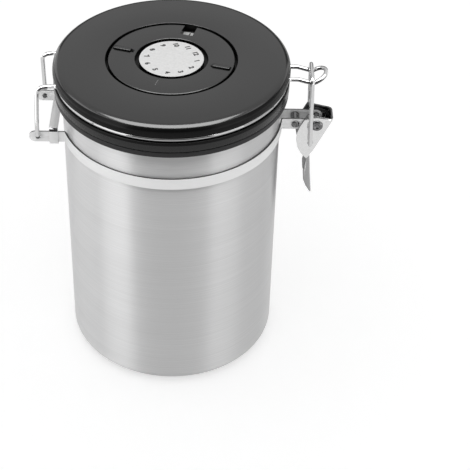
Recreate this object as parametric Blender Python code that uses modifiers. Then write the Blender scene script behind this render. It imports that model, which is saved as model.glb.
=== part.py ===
"""Coffee canister with a wire-hinged lid and an over-centre latch, at rest with the lid clamped shut.

It stands on the plane z = 0 with its axis on Z. The hinge is towards -X and the latch towards +X.
"""

import math

import bmesh
import bpy
from mathutils import Matrix, Vector

MM = 0.001

# Fits and cuts shared by every piece
GAP = 0.3 * MM
PIN_GAP = 0.2 * MM
CUT_OVERRUN = 3 * MM
MERGE_LIMIT = 0.01 * MM

# Canister body, one drawn sheet with a rolled rim
BODY_RADIUS = 57.6 * MM
BODY_WALL = 0.6 * MM
RIM_TOP = 160.6 * MM
RIM_REACH = 1.8 * MM
RIM_ROLL = 0.4 * MM
RIM_LIP = 0.2 * MM
SHOULDER_ROLL = 1.0 * MM
HEEL_RADIUS = 5.7 * MM
BASE_RING_INSET = 17.6 * MM
BASE_RING_RADIUS = BODY_RADIUS - BASE_RING_INSET
BASE_RING_WIDTH = 1.6 * MM
BASE_RING_DEPTH = 0.5 * MM

# Neck strap, in two halves whose ends turn out as ears
STRAP_HEIGHT = 6.5 * MM
STRAP_SHEET = 0.8 * MM
STRAP_FOLD = 1.2 * MM
STRAP_DROP = 19.3 * MM
STRAP_AXIS_Z = RIM_TOP - STRAP_DROP
EAR_TIP_SHARE = 0.96

# Hinge: ears, their pin holes and the staple clip that ties them
HINGE_REACH = 11.9 * MM
HINGE_X = -BODY_RADIUS - HINGE_REACH
HINGE_EAR_Y = 18.9 * MM
HINGE_EAR_TIP = 4.7 * MM
HINGE_EAR_TIP_X = HINGE_X - HINGE_EAR_TIP
CLIP_SETBACK = 8.3 * MM
CLIP_X = HINGE_X + CLIP_SETBACK
CLIP_WIDTH = 4.7 * MM
CLIP_SHEET = 0.7 * MM
CLIP_RISE = 5.3 * MM
CLIP_TOP = STRAP_AXIS_Z + CLIP_RISE
CLIP_DROP = 4 * MM
CLIP_BOTTOM = STRAP_AXIS_Z - CLIP_DROP
CLIP_LIP = 2.2 * MM
CLIP_FOLD = 0.9 * MM

# Latch: ears, the rivet and spacer that tie them, and the lever's rivet
LATCH_EAR_Y = 4.3 * MM
TIE_REACH = 8.1 * MM
TIE_X = BODY_RADIUS + TIE_REACH
TIE_PIN_RADIUS = 1.2 * MM
TIE_HEAD_LIP = 0.9 * MM
TIE_HEAD_RADIUS = TIE_PIN_RADIUS + TIE_HEAD_LIP
SPACER_WALL = 1 * MM
SPACER_BORE = TIE_PIN_RADIUS + PIN_GAP
SPACER_RADIUS = SPACER_BORE + SPACER_WALL
LEVER_LENGTH = 50 * MM
CHEEK_REACH_SHARE = 0.178
LEVER_X = TIE_X + TIE_HEAD_RADIUS + GAP + CHEEK_REACH_SHARE * LEVER_LENGTH
LATCH_EAR_TIP = 3.2 * MM
LATCH_EAR_TIP_X = LEVER_X + LATCH_EAR_TIP
LEVER_PIN_RADIUS = 1.5 * MM
LEVER_HEAD_LIP = 1.6 * MM
LEVER_HEAD_RADIUS = LEVER_PIN_RADIUS + LEVER_HEAD_LIP
HEAD_HEIGHT = 0.9 * MM
HEAD_EDGE_SHARE = 0.45
HEAD_CROWN_SHARE = 0.55

# Latch lever, pressed from one sheet: sizes from its pivot
LEVER_ROOM = 1.2 * MM
LEVER_HALF_WIDTH = LATCH_EAR_Y + LEVER_ROOM
LEVER_SHEET = 0.9 * MM
LEVER_FOLD = 1.5 * MM
FOLD_DEPTH_SHARE = 0.45
BAIL_PIVOT_SHARES = (-0.061, -0.227)
# Each row is one cross-section from the top down, in shares of the lever's length and half width:
# the web's x and z, the free edge's x and z, the half width, and how far the channel opens to a dish
LEVER_SECTION_SHARES = (
    (0.160, 0.078, -0.100, 0.138, 1.00, 0.0),
    (0.152, 0.036, -0.136, 0.064, 1.00, 0.0),
    (0.118, -0.036, -0.178, -0.018, 1.00, 0.0),
    (0.084, -0.108, -0.206, -0.106, 1.00, 0.0),
    (0.050, -0.182, -0.208, -0.200, 1.00, 0.0),
    (0.012, -0.264, -0.190, -0.292, 1.00, 0.0),
    (-0.020, -0.332, -0.152, -0.364, 0.99, 0.0),
    (-0.046, -0.388, -0.112, -0.420, 0.88, 0.3),
    (-0.058, -0.432, -0.092, -0.454, 0.72, 0.8),
    (-0.052, -0.500, -0.100, -0.512, 0.87, 1.0),
    (-0.044, -0.600, -0.112, -0.608, 1.06, 1.0),
    (-0.036, -0.720, -0.102, -0.726, 1.06, 1.0),
    (-0.026, -0.820, -0.072, -0.824, 0.84, 1.0),
    (-0.018, -0.905, -0.036, -0.907, 0.52, 1.0),
    (-0.014, -0.955, -0.020, -0.956, 0.22, 1.0),
)
# Where the five points from the free edge to the middle of the web lie on an open dish:
# the share of the half width, and the share of the depth
DISH_SHARES = ((1.00, 1.00), (0.90, 0.62), (0.74, 0.30), (0.52, 0.10), (0.00, 0.00))
FOLD_MIDDLE_SHARE = 0.3

# Latch bail, one bent wire
WIRE_RADIUS = 1.15 * MM
BAIL_SPREAD = 3.1 * MM
BAIL_LEG_Y = LEVER_HALF_WIDTH + BAIL_SPREAD
BAIL_PIN_REACH = 1.5 * MM
BAIL_PIN_END_Y = LEVER_HALF_WIDTH - BAIL_PIN_REACH
BAIL_BAR_SETBACK = 4.2 * MM
BAIL_BAR_X = LEVER_X - BAIL_BAR_SETBACK
BAIL_FOOT_BEND = 1.6 * MM
BAIL_BAR_BEND = 2.5 * MM

# Lid wire: hinge pins, legs, the ring round the lid and the catch loop
LID_WIRE_RISE = 9.7 * MM
LID_WIRE_Z = RIM_TOP + LID_WIRE_RISE
LEG_FOOT_Y = HINGE_EAR_Y + STRAP_SHEET / 2 + GAP + WIRE_RADIUS
LEG_PIN_REACH = 1.3 * MM
LEG_PIN_END_Y = HINGE_EAR_Y - LEG_PIN_REACH
LEG_STRAIGHT = 7 * MM
LEG_STRAIGHT_TOP = STRAP_AXIS_Z + LEG_STRAIGHT
LEG_LEAN = 4.95 * MM
LEG_TOP_Y = LEG_FOOT_Y - LEG_LEAN
LEG_TOP_DROP = 1 * MM
LEG_TOP_Z = LID_WIRE_Z - LEG_TOP_DROP
LEG_RUN = 6.3 * MM
LEG_TILT = 0.5 * MM
LEG_TOP_X = HINGE_X + LEG_TILT
LEG_JOIN_X = HINGE_X + LEG_RUN
LEG_FOOT_BEND = 1.6 * MM
LEG_LEAN_BEND = 8 * MM
LEG_TOP_BEND = 4 * MM
RING_BEND = 3 * MM
RING_LEG_ANGLE = math.radians(194.5)
CATCH_ROOM = 2.7 * MM
CATCH_HALF_WIDTH = BAIL_LEG_Y - CATCH_ROOM
CATCH_START_REACH = 7.9 * MM
CATCH_START_X = BODY_RADIUS + CATCH_START_REACH
CATCH_CROOK_LEAD = 0.6 * MM
CATCH_CROOK_X = BAIL_BAR_X + CATCH_CROOK_LEAD
CATCH_CROOK_DROP = 2.3 * MM
CATCH_CROOK_Z = LID_WIRE_Z - CATCH_CROOK_DROP
CATCH_RUN = 6.8 * MM
CATCH_END_X = CATCH_CROOK_X + CATCH_RUN
CATCH_RISE = 1.5 * MM
CATCH_END_Z = LID_WIRE_Z + CATCH_RISE
CATCH_BEND = 2.5 * MM
BAIL_BAR_LIFT = 1.3 * MM
BAIL_BAR_Z = LID_WIRE_Z + BAIL_BAR_LIFT

# Lid cover: a shallow dish turned over, with a well for the dials
COVER_REACH = 4.15 * MM
COVER_RADIUS = BODY_RADIUS + COVER_REACH
COVER_RISE = 17.9 * MM
COVER_TOP = RIM_TOP + COVER_RISE
COVER_ROUND = 4.3 * MM
COVER_SHEET = 2 * MM
SKIRT_REACH = 1.7 * MM
COVER_SKIRT_RADIUS = BODY_RADIUS + SKIRT_REACH
COVER_SKIRT_SHEET = 2.05 * MM
SKIRT_RISE = 6.8 * MM
COVER_SKIRT_BOTTOM = RIM_TOP + SKIRT_RISE
COVER_STEP_GAP = 0.8 * MM
WELL_RADIUS = 34.3 * MM
WELL_DEPTH = 4.7 * MM
WELL_FLOOR = COVER_TOP - WELL_DEPTH
WELL_SHEET = 1.5 * MM
BOSS_RADIUS = 6 * MM
BOSS_HEIGHT = 1.9 * MM
AIR_HOLE_RADIUS = 1 * MM
AIR_HOLE_CIRCLE = 15 * MM

# Lid plug: the flange that carries the gasket and the cup that enters the mouth
PLUG_REACH = 3.95 * MM
PLUG_RADIUS = BODY_RADIUS + PLUG_REACH
PLUG_FLANGE_RISE = 3.6 * MM
PLUG_FLANGE_BOTTOM = RIM_TOP + PLUG_FLANGE_RISE
PLUG_CUP_INSET = 3.6 * MM
PLUG_CUP_RADIUS = BODY_RADIUS - PLUG_CUP_INSET
PLUG_CUP_SHEET = 2 * MM
PLUG_DEPTH = 9.9 * MM
PLUG_BOTTOM = RIM_TOP - PLUG_DEPTH
PLUG_STRAIGHT_RISE = 8.2 * MM
PLUG_TAPER_INSET = 3.2 * MM
PLUG_TAPER_RISE = 3.5 * MM
PLUG_HEEL_INSET = 5.5 * MM
PLUG_HEEL_RISE = 0.8 * MM
PLUG_FLOOR_INSET = 7.5 * MM
PLUG_FLOOR_SHEET = 2 * MM
PLUG_WELL_INSET = 6.5 * MM
PLUG_WELL_RISE = 8.5 * MM
VALVE_HOLE_RADIUS = 9 * MM

# Lid gasket
GASKET_REACH = 3.7 * MM
GASKET_RADIUS = BODY_RADIUS + GASKET_REACH
GASKET_LIFT = 0.35 * MM
GASKET_BOTTOM = RIM_TOP + GASKET_LIFT
GASKET_CHAMFER = 0.3 * MM
GASKET_LIP_INSET = 1.1 * MM
GASKET_LIP_RADIUS = BODY_RADIUS - GASKET_LIP_INSET
GASKET_LIP_DEPTH = 1.8 * MM
GASKET_LIP_TAPER = 1 * MM

# Dials in the well: a fixed plate, a turning disc over it and a small dial at the centre
PLATE_SHEET = 0.8 * MM
PLATE_MARGIN = 0.5 * MM
PLATE_RADIUS = WELL_RADIUS - PLATE_MARGIN
PLATE_BOTTOM = WELL_FLOOR + GAP
PLATE_TOP = PLATE_BOTTOM + PLATE_SHEET
DISC_MARGIN = 1.3 * MM
DISC_RADIUS = WELL_RADIUS - DISC_MARGIN
DISC_BOTTOM = PLATE_TOP + GAP
DISC_SEAT_SHEET = 0.9 * MM
DISC_SEAT_TOP = DISC_BOTTOM + DISC_SEAT_SHEET
DISC_EDGE = 0.35 * MM
DIAL_RADIUS = 17.05 * MM
DIAL_SHEET = 1 * MM
DIAL_BOTTOM = DISC_SEAT_TOP + GAP
DIAL_TOP = DIAL_BOTTOM + DIAL_SHEET
DIAL_BORE = BOSS_RADIUS + GAP
DIAL_SKIRT_WALL = 2.7 * MM
DIAL_SKIRT_RADIUS = DIAL_BORE + DIAL_SKIRT_WALL
DIAL_SKIRT_LIFT = 0.5 * MM
PLATE_INNER_MARGIN = 0.95 * MM
PLATE_INNER_RADIUS = DIAL_RADIUS + PLATE_INNER_MARGIN
DISC_SEAT_MARGIN = 3.3 * MM
DISC_SEAT_RADIUS = DIAL_SKIRT_RADIUS + DISC_SEAT_MARGIN
DISC_BORE_MARGIN = 1.5 * MM
DISC_BORE_RADIUS = DIAL_RADIUS + DISC_BORE_MARGIN
DISC_LIP_WIDTH = 0.4 * MM
DISC_LIP_RADIUS = DISC_BORE_RADIUS + DISC_LIP_WIDTH
DISC_LIP_DEPTH = 0.4 * MM
WINDOW_WIDTH = 7.6 * MM
WINDOW_DEPTH = 9.3 * MM
WINDOW_INNER_RADIUS = DISC_RADIUS - WINDOW_DEPTH
WINDOW_ANGLE = math.radians(72.7)
GRIP_EDGE = 1.5 * MM
GRIP_OUTER_RADIUS = DISC_RADIUS - GRIP_EDGE
GRIP_LENGTH = 9.2 * MM
GRIP_INNER_RADIUS = GRIP_OUTER_RADIUS - GRIP_LENGTH
GRIP_WIDTH = 2.2 * MM
GRIP_HEIGHT = 0.9 * MM
GRIP_ANGLES = (WINDOW_ANGLE + math.pi / 2, WINDOW_ANGLE - math.pi / 2)
POINTER_EDGE = 1.4 * MM
POINTER_INNER_RADIUS = DISC_LIP_RADIUS + POINTER_EDGE
POINTER_LENGTH = 5.8 * MM
POINTER_OUTER_RADIUS = POINTER_INNER_RADIUS + POINTER_LENGTH
POINTER_WIDTH = 0.6 * MM
POINTER_DEPTH = 0.5 * MM
POINTER_ANGLE = WINDOW_ANGLE + math.pi

# One-way valve in the plug's floor
VALVE_NECK_RISE = 3.5 * MM
VALVE_NECK_TOP = PLUG_BOTTOM + VALVE_NECK_RISE
VALVE_NECK_SHEET = 1.2 * MM
VALVE_FLANGE_REACH = 2.5 * MM
VALVE_FLANGE_RADIUS = VALVE_HOLE_RADIUS + VALVE_FLANGE_REACH
VALVE_FLANGE_SHEET = 1.45 * MM
VALVE_FLANGE_TOP = PLUG_BOTTOM - GAP
VALVE_FLANGE_BOTTOM = VALVE_FLANGE_TOP - VALVE_FLANGE_SHEET
VALVE_RABBET_REACH = 0.5 * MM
VALVE_RABBET_RADIUS = VALVE_HOLE_RADIUS + VALVE_RABBET_REACH
VALVE_WEB_RISE = 0.2 * MM
VALVE_WEB_TOP = PLUG_BOTTOM + VALVE_WEB_RISE
VALVE_WEB_SHEET = 1.2 * MM
VALVE_WEB_BOTTOM = VALVE_WEB_TOP - VALVE_WEB_SHEET
VENT_RADIUS = 1 * MM
VENT_INSET = 4.8 * MM
VENT_CIRCLE = VALVE_HOLE_RADIUS - VENT_INSET
FLAP_INSET = 2.7 * MM
FLAP_RADIUS = VALVE_HOLE_RADIUS - FLAP_INSET
FLAP_SHEET = 0.6 * MM
STEM_RADIUS = 1 * MM
STEM_HOLE_RADIUS = STEM_RADIUS + GAP
BULB_LIP = 0.7 * MM
BULB_RADIUS = STEM_RADIUS + BULB_LIP
BULB_DROP = 0.9 * MM
BULB_TOP = VALVE_WEB_BOTTOM - BULB_DROP
BULB_HEIGHT = 0.8 * MM
BULB_BOTTOM = BULB_TOP - BULB_HEIGHT
GRILLE_MARGIN = 0.3 * MM
GRILLE_RADIUS = VALVE_FLANGE_RADIUS - GRILLE_MARGIN
GRILLE_DROP = 4 * MM
GRILLE_BOTTOM = PLUG_BOTTOM - GRILLE_DROP
GRILLE_SHEET = 0.8 * MM
GRILLE_WALL = 1 * MM
GRILLE_HOLE_RADIUS = 0.9 * MM
GRILLE_CIRCLES = ((3 * MM, 5), (7 * MM, 9))

# Facet counts
BODY_STEPS = 48
DIAL_STEPS = 36
VALVE_STEPS = 24
RIVET_STEPS = 14
HOLE_STEPS = 8
PIN_HOLE_STEPS = 14
ROLL_STEPS = 2
HEEL_STEPS = 4
COVER_ROUND_STEPS = 3
STRAP_STEPS = 22
TIP_STEPS = 4
RING_STEPS = 20
WIRE_ROUNDNESS = 3
BEND_STEP = math.radians(28)
AIR_HOLE_COUNT = 3
VENT_COUNT = 6
FRONT = -1
REAR = 1


# Scene and collections


def clear_scene():
    for obj in list(bpy.data.objects):
        bpy.data.objects.remove(obj)


def new_collection(name):
    collection = bpy.data.collections.new(name)
    bpy.context.scene.collection.children.link(collection)
    return collection


clear_scene()
PARTS = new_collection("coffee_canister")
CUTTERS = new_collection("cutters")
CUTTERS.hide_render = True


def add_part(name, data, material):
    obj = bpy.data.objects.new(name, data)
    data.materials.append(material)
    PARTS.objects.link(obj)
    return obj


def add_cutter(name, mesh):
    obj = bpy.data.objects.new(name, mesh)
    obj.hide_render = True
    obj.display_type = "WIRE"
    CUTTERS.objects.link(obj)
    return obj


def add_axis(name, place):
    axis = bpy.data.objects.new(name, None)
    axis.location = place
    PARTS.objects.link(axis)
    return axis


def carry(obj, carrier):
    """Parent obj to the carrier and leave it where it stands."""
    obj.parent = carrier
    obj.matrix_parent_inverse = Matrix.Translation(carrier.location).inverted()


# Materials


def finish(name, colour, roughness, metallic=0.0):
    material = bpy.data.materials.new(name)
    material.use_nodes = True
    shader = material.node_tree.nodes["Principled BSDF"]
    shader.inputs["Base Color"].default_value = (*colour, 1.0)
    shader.inputs["Roughness"].default_value = roughness
    shader.inputs["Metallic"].default_value = metallic
    material.diffuse_color = (*colour, 1.0)
    return material


def steel(name, roughness):
    return finish(name, (0.56, 0.56, 0.57), roughness, 1.0)


def black_plastic(name, roughness):
    return finish(name, (0.022, 0.022, 0.024), roughness)


# Profiles and paths


def arc(centre_x, centre_z, radius, start_turn, end_turn, steps):
    """Points of an arc in the profile plane, with its angles in quarter turns from +X."""
    points = []
    for step in range(steps + 1):
        angle = math.pi / 2 * (start_turn + (end_turn - start_turn) * step / steps)
        points.append((centre_x + radius * math.cos(angle), centre_z + radius * math.sin(angle)))
    return points


def polar(radius, angle, height=0.0):
    return Vector((radius * math.cos(angle), radius * math.sin(angle), height))


def rounded_path(corners):
    """Points of a path given as (corner, bend radius) pairs, with each bend an arc of short chords."""
    points = [corners[0][0]]
    for (before, _), (corner, radius), (after, _) in zip(corners, corners[1:], corners[2:]):
        if radius:
            points.extend(bend(before, corner, after, radius))
        else:
            points.append(corner)
    points.append(corners[-1][0])
    return points


def bend(before, corner, after, radius):
    back = (before - corner).normalized()
    onward = (after - corner).normalized()
    half = back.angle(onward) / 2
    centre = corner + (back + onward).normalized() * (radius / math.sin(half))
    spoke = corner + back * (radius / math.tan(half)) - centre
    axis = back.cross(onward).normalized()
    turn = math.pi - 2 * half
    steps = max(2, math.ceil(turn / BEND_STEP))
    turns = [-turn * step / steps for step in range(steps + 1)]
    return [centre + Matrix.Rotation(angle, 3, axis) @ spoke for angle in turns]


def distinct(points):
    """The points without any that repeats the one before it."""
    kept = [points[0]]
    for point in points[1:]:
        if (point - kept[-1]).length > MERGE_LIMIT:
            kept.append(point)
    return kept


# Solids


def turn_profile(name, profile, steps, material, ring=False, wall=0.0):
    """Turn a profile of (radius, height) points round Z; a ring profile closes on itself."""
    mesh = bpy.data.meshes.new(name)
    count = len(profile)
    edges = [(index, index + 1) for index in range(count - 1)]
    if ring:
        edges.append((count - 1, 0))
    mesh.from_pydata([(radius, 0.0, height) for radius, height in profile], edges, [])
    obj = add_part(name, mesh, material)
    screw = obj.modifiers.new("turn", "SCREW")
    screw.axis = "Z"
    screw.angle = math.tau
    screw.steps = steps
    screw.render_steps = steps
    screw.use_merge_vertices = True
    screw.merge_threshold = MERGE_LIMIT
    screw.use_smooth_shade = True
    if wall:
        thicken(obj, wall, -1.0)
    return obj


def thicken(obj, thickness, offset):
    solidify = obj.modifiers.new("sheet", "SOLIDIFY")
    solidify.thickness = thickness
    solidify.offset = offset
    solidify.use_even_offset = True


def bend_wire(name, points, material):
    curve = bpy.data.curves.new(name, "CURVE")
    curve.dimensions = "3D"
    curve.bevel_depth = WIRE_RADIUS
    curve.bevel_resolution = WIRE_ROUNDNESS
    curve.use_fill_caps = True
    spline = curve.splines.new("POLY")
    places = distinct(points)
    spline.points.add(len(places) - 1)
    for point, place in zip(spline.points, places):
        point.co = (*place, 1.0)
    return add_part(name, curve, material)


def fold_sheet(name, path, across, thickness, material, tip_radius=0.0):
    """Sweep an open path sideways into a sheet, round the corners of its ends, and thicken it."""
    shape = bmesh.new()
    corners = [shape.verts.new(point) for point in distinct(path)]
    for start, end in zip(corners, corners[1:]):
        shape.edges.new((start, end))
    grown = bmesh.ops.extrude_edge_only(shape, edges=shape.edges[:])["geom"]
    moved = [item for item in grown if isinstance(item, bmesh.types.BMVert)]
    bmesh.ops.translate(shape, verts=moved, vec=across)
    if tip_radius:
        tips = [vert for vert in shape.verts if len(vert.link_edges) == 2]
        bmesh.ops.bevel(
            shape, geom=tips, offset=tip_radius, segments=TIP_STEPS, profile=0.5, affect="VERTICES"
        )
    mesh = bpy.data.meshes.new(name)
    shape.to_mesh(mesh)
    shape.free()
    mesh.shade_smooth()
    obj = add_part(name, mesh, material)
    thicken(obj, thickness, 0.0)
    return obj


# Cutters


def rod(name, radius, start, end, steps):
    """A round bar between two points."""
    shape = bmesh.new()
    span = end - start
    bmesh.ops.create_cone(
        shape, cap_ends=True, segments=steps, radius1=radius, radius2=radius, depth=span.length
    )
    mesh = bpy.data.meshes.new(name)
    shape.to_mesh(mesh)
    shape.free()
    obj = add_cutter(name, mesh)
    obj.location = (start + end) / 2
    obj.rotation_euler = span.to_track_quat("Z", "Y").to_euler()
    return obj


def radial_block(name, inner, outer, width, bottom, top, angle):
    """A box lying along a radius, from one radius to another."""
    shape = bmesh.new()
    bmesh.ops.create_cube(shape, size=1.0)
    bmesh.ops.scale(shape, vec=(outer - inner, width, top - bottom), verts=shape.verts)
    bmesh.ops.translate(shape, vec=((inner + outer) / 2, 0.0, (bottom + top) / 2), verts=shape.verts)
    mesh = bpy.data.meshes.new(name)
    shape.to_mesh(mesh)
    shape.free()
    obj = add_cutter(name, mesh)
    obj.rotation_euler.z = angle
    return obj


def apply_boolean(obj, tool, operation):
    boolean = obj.modifiers.new(tool.name, "BOOLEAN")
    boolean.operation = operation
    boolean.solver = "EXACT"
    boolean.object = tool


def drill_down(obj, centre, radius, bottom, top, steps=HOLE_STEPS):
    """An upright hole through everything between two heights."""
    start = Vector((centre.x, centre.y, bottom - CUT_OVERRUN))
    end = Vector((centre.x, centre.y, top + CUT_OVERRUN))
    hole = rod(f"{obj.name}_hole_{len(obj.modifiers)}", radius, start, end, steps)
    apply_boolean(obj, hole, "DIFFERENCE")


def drill_across(obj, x, z, radius, low_y, high_y):
    """A hole along Y through every sheet between two y values."""
    start = Vector((x, low_y - CUT_OVERRUN, z))
    end = Vector((x, high_y + CUT_OVERRUN, z))
    hole = rod(f"{obj.name}_hole_{len(obj.modifiers)}", radius, start, end, PIN_HOLE_STEPS)
    apply_boolean(obj, hole, "DIFFERENCE")


# Canister body


def body_profile():
    """The outside of the sheet, from under the rolled rim down to the middle of the base."""
    rim_under = RIM_TOP - BODY_WALL
    rim_end = BODY_RADIUS + RIM_REACH
    ring_inner = BASE_RING_RADIUS - BASE_RING_WIDTH
    profile = [(rim_end, rim_under - RIM_ROLL - RIM_LIP)]
    profile += arc(rim_end - RIM_ROLL, rim_under - RIM_ROLL, RIM_ROLL, 0, 1, ROLL_STEPS)
    neck = arc(BODY_RADIUS + SHOULDER_ROLL, rim_under - SHOULDER_ROLL, SHOULDER_ROLL, 1, 2, ROLL_STEPS)
    profile += neck
    profile += arc(BODY_RADIUS - HEEL_RADIUS, HEEL_RADIUS, HEEL_RADIUS, 0, -1, HEEL_STEPS)
    profile += [
        (BASE_RING_RADIUS, 0.0),
        (BASE_RING_RADIUS - BASE_RING_DEPTH, BASE_RING_DEPTH),
        (ring_inner + BASE_RING_DEPTH, BASE_RING_DEPTH),
        (ring_inner, 0.0),
        (0.0, 0.0),
    ]
    return profile


def canister_body():
    material = steel("canister_body_brushed_steel", 0.32)
    return turn_profile("canister_body", body_profile(), BODY_STEPS, material, wall=BODY_WALL)


# Neck straps and what ties their ears


def strap_path(side):
    """The middle of the sheet in plan, from the hinge ear's tip round the neck to the latch ear's tip."""
    radius = BODY_RADIUS + GAP + STRAP_SHEET / 2
    hinge_angle = math.pi - math.asin(HINGE_EAR_Y / radius)
    latch_angle = math.asin(LATCH_EAR_Y / radius)
    bottom = STRAP_AXIS_Z - STRAP_HEIGHT / 2
    corners = [(Vector((HINGE_EAR_TIP_X, side * HINGE_EAR_Y, bottom)), 0.0)]
    for step in range(STRAP_STEPS + 1):
        angle = hinge_angle + (latch_angle - hinge_angle) * step / STRAP_STEPS
        fold = STRAP_FOLD if step in (0, STRAP_STEPS) else 0.0
        corners.append((polar(radius, side * angle, bottom), fold))
    corners.append((Vector((LATCH_EAR_TIP_X, side * LATCH_EAR_Y, bottom)), 0.0))
    return rounded_path(corners)


def neck_strap(name, side):
    material = steel(f"{name}_polished_steel", 0.14)
    across = Vector((0.0, 0.0, STRAP_HEIGHT))
    tip_radius = STRAP_HEIGHT / 2 * EAR_TIP_SHARE
    strap = fold_sheet(name, strap_path(side), across, STRAP_SHEET, material, tip_radius)
    hinge_hole = WIRE_RADIUS + PIN_GAP
    low = min(0.0, side * HINGE_EAR_Y)
    high = max(0.0, side * HINGE_EAR_Y)
    drill_across(strap, HINGE_X, STRAP_AXIS_Z, hinge_hole, low, high)
    drill_across(strap, TIE_X, STRAP_AXIS_Z, TIE_PIN_RADIUS + PIN_GAP, low, high)
    drill_across(strap, LEVER_X, STRAP_AXIS_Z, LEVER_PIN_RADIUS + PIN_GAP, low, high)
    return strap


def hinge_clip():
    """A staple over both hinge ears, with a lip turned in under each."""
    side_y = HINGE_EAR_Y + STRAP_SHEET / 2 + GAP + CLIP_SHEET / 2
    x = CLIP_X - CLIP_WIDTH / 2
    corners = [
        (Vector((x, side_y - CLIP_LIP, CLIP_BOTTOM)), 0.0),
        (Vector((x, side_y, CLIP_BOTTOM)), CLIP_FOLD),
        (Vector((x, side_y, CLIP_TOP)), CLIP_FOLD),
        (Vector((x, -side_y, CLIP_TOP)), CLIP_FOLD),
        (Vector((x, -side_y, CLIP_BOTTOM)), CLIP_FOLD),
        (Vector((x, CLIP_LIP - side_y, CLIP_BOTTOM)), 0.0),
    ]
    material = steel("hinge_clip_polished_steel", 0.16)
    across = Vector((CLIP_WIDTH, 0.0, 0.0))
    return fold_sheet("hinge_clip", rounded_path(corners), across, CLIP_SHEET, material)


def rivet(name, x, pin_radius, head_radius, head_start, material):
    """A pin with a domed head at each end, turned round Z and then laid along Y."""
    head_edge = head_start + HEAD_HEIGHT * HEAD_EDGE_SHARE
    head_end = head_start + HEAD_HEIGHT
    crown = head_radius * HEAD_CROWN_SHARE
    upper = [(0.0, head_end), (crown, head_end), (head_radius, head_edge), (head_radius, head_start)]
    upper.append((pin_radius, head_start))
    lower = [(radius, -height) for radius, height in reversed(upper)]
    obj = turn_profile(name, upper + lower, RIVET_STEPS, material)
    obj.location = (x, 0.0, STRAP_AXIS_Z)
    obj.rotation_euler.x = math.pi / 2
    return obj


def strap_rivet():
    head_start = LATCH_EAR_Y + STRAP_SHEET / 2 + PIN_GAP
    material = steel("strap_rivet_steel", 0.2)
    return rivet("strap_rivet", TIE_X, TIE_PIN_RADIUS, TIE_HEAD_RADIUS, head_start, material)


def lever_rivet():
    head_start = LEVER_HALF_WIDTH + LEVER_SHEET / 2 + PIN_GAP
    material = steel("lever_rivet_steel", 0.18)
    return rivet("lever_rivet", LEVER_X, LEVER_PIN_RADIUS, LEVER_HEAD_RADIUS, head_start, material)


def strap_spacer():
    half = LATCH_EAR_Y - STRAP_SHEET / 2 - GAP
    profile = [(SPACER_RADIUS, half), (SPACER_RADIUS, -half), (SPACER_BORE, -half), (SPACER_BORE, half)]
    material = steel("strap_spacer_steel", 0.3)
    spacer = turn_profile("strap_spacer", profile, RIVET_STEPS, material, ring=True)
    spacer.location = (TIE_X, 0.0, STRAP_AXIS_Z)
    spacer.rotation_euler.x = math.pi / 2
    return spacer


# Latch lever and bail


def channel_points(half, depth):
    """Offsets across and inward of half a channel section, from its free edge to the middle of the web."""
    fold = min(LEVER_FOLD, depth * FOLD_DEPTH_SHARE)
    return [
        (half, depth),
        (half, fold),
        (half - fold * FOLD_MIDDLE_SHARE, fold * FOLD_MIDDLE_SHARE),
        (half - fold, 0.0),
        (0.0, 0.0),
    ]


def lever_section(shares):
    """The points of one cross-section of the lever, from one free edge to the other."""
    web_x, web_z, edge_x, edge_z, width, dish = shares
    web = Vector((web_x, 0.0, web_z)) * LEVER_LENGTH
    inward = Vector((edge_x, 0.0, edge_z)) * LEVER_LENGTH - web
    depth = inward.length
    inward.normalize()
    half = LEVER_HALF_WIDTH * width
    side = []
    for (fold_y, fold_depth), (y_share, depth_share) in zip(channel_points(half, depth), DISH_SHARES):
        y = fold_y + (half * y_share - fold_y) * dish
        inset = fold_depth + (depth * depth_share - fold_depth) * dish
        side.append((y, web + inward * inset))
    near = [Vector((place.x, -y, place.z)) for y, place in side]
    far = [Vector((place.x, y, place.z)) for y, place in reversed(side[:-1])]
    return near + far


def latch_lever():
    """A loft down the cross-sections, thickened, with the rivet's and the bail's holes in both cheeks."""
    sections = [lever_section(shares) for shares in LEVER_SECTION_SHARES]
    across = len(sections[0])
    points = [point for section in sections for point in section]
    faces = []
    for row in range(len(sections) - 1):
        for column in range(across - 1):
            first = row * across + column
            faces.append((first, first + 1, first + across + 1, first + across))
    mesh = bpy.data.meshes.new("latch_lever")
    mesh.from_pydata(points, [], faces)
    mesh.shade_smooth()
    lever = add_part("latch_lever", mesh, steel("latch_lever_polished_steel", 0.15))
    lever.location = (LEVER_X, 0.0, STRAP_AXIS_Z)
    thicken(lever, LEVER_SHEET, 0.0)
    pivot_hole = LEVER_PIN_RADIUS + PIN_GAP
    drill_across(lever, LEVER_X, STRAP_AXIS_Z, pivot_hole, -LEVER_HALF_WIDTH, LEVER_HALF_WIDTH)
    bail = lever.location + bail_offset()
    drill_across(lever, bail.x, bail.z, WIRE_RADIUS + PIN_GAP, -LEVER_HALF_WIDTH, LEVER_HALF_WIDTH)
    return lever


def bail_offset():
    """From the lever's pivot to the bail's."""
    share_x, share_z = BAIL_PIVOT_SHARES
    return Vector((share_x, 0.0, share_z)) * LEVER_LENGTH


def latch_bail(lever):
    """A wire whose ends turn in through the lever's cheeks and whose bar lies in the catch's crook."""
    pivot = lever.location + bail_offset()
    bar = Vector((BAIL_BAR_X, 0.0, BAIL_BAR_Z)) - pivot
    leg = Vector((0.0, BAIL_LEG_Y, 0.0))
    pin_end = Vector((0.0, BAIL_PIN_END_Y, 0.0))
    corners = [
        (-pin_end, 0.0),
        (-leg, BAIL_FOOT_BEND),
        (bar - leg, BAIL_BAR_BEND),
        (bar + leg, BAIL_BAR_BEND),
        (leg, BAIL_FOOT_BEND),
        (pin_end, 0.0),
    ]
    bail = bend_wire("latch_bail", rounded_path(corners), steel("latch_bail_bright_wire", 0.12))
    bail.parent = lever
    bail.location = bail_offset()
    return bail


# Lid wire


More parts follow.
